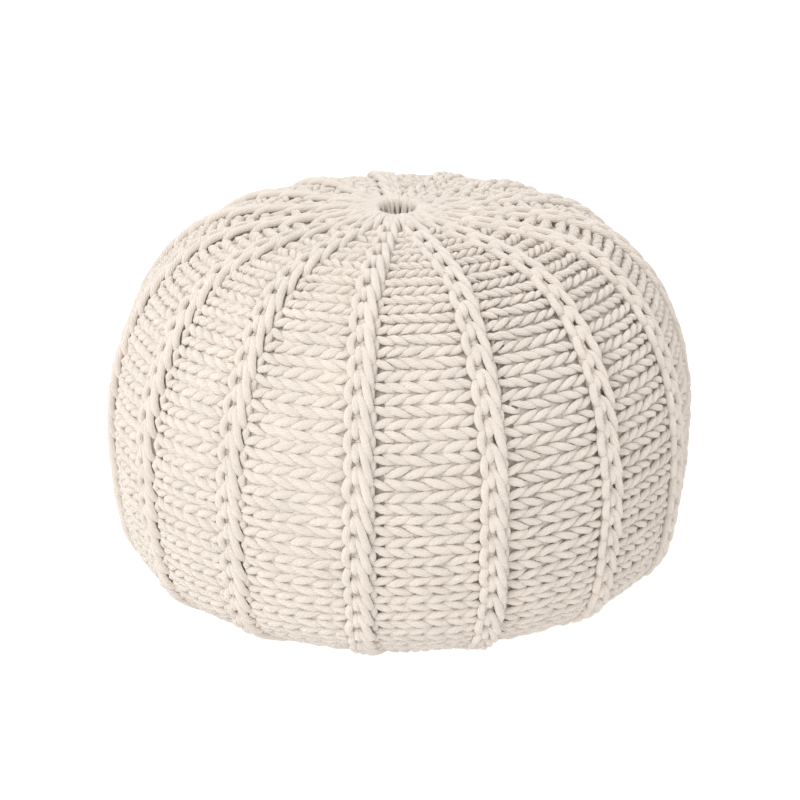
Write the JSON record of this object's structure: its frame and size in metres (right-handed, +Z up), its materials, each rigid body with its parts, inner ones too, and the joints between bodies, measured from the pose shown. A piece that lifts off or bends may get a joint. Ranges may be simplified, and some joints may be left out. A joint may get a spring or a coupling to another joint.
{
  "type": "knitted pouf",
  "caption": "Round filled pouf in chunky ivory cotton knit, with raised cord ribs between its gores, gathered into a small well at the top, flat underneath.",
  "frame": {"origin": "middle of the flat base, on the surface it stands on", "axes": "+Z up through the gathered well; the side in the picture faces -Y, +X to its right"},
  "size_m": [0.5071, 0.5044, 0.342],
  "materials": {
    "cotton_cord": "matte chunky knit of natural ivory cotton cord"
  },
  "bodies": {
    "root": {"knit_pouf": "cotton_cord"}
  },
  "joints": []
}
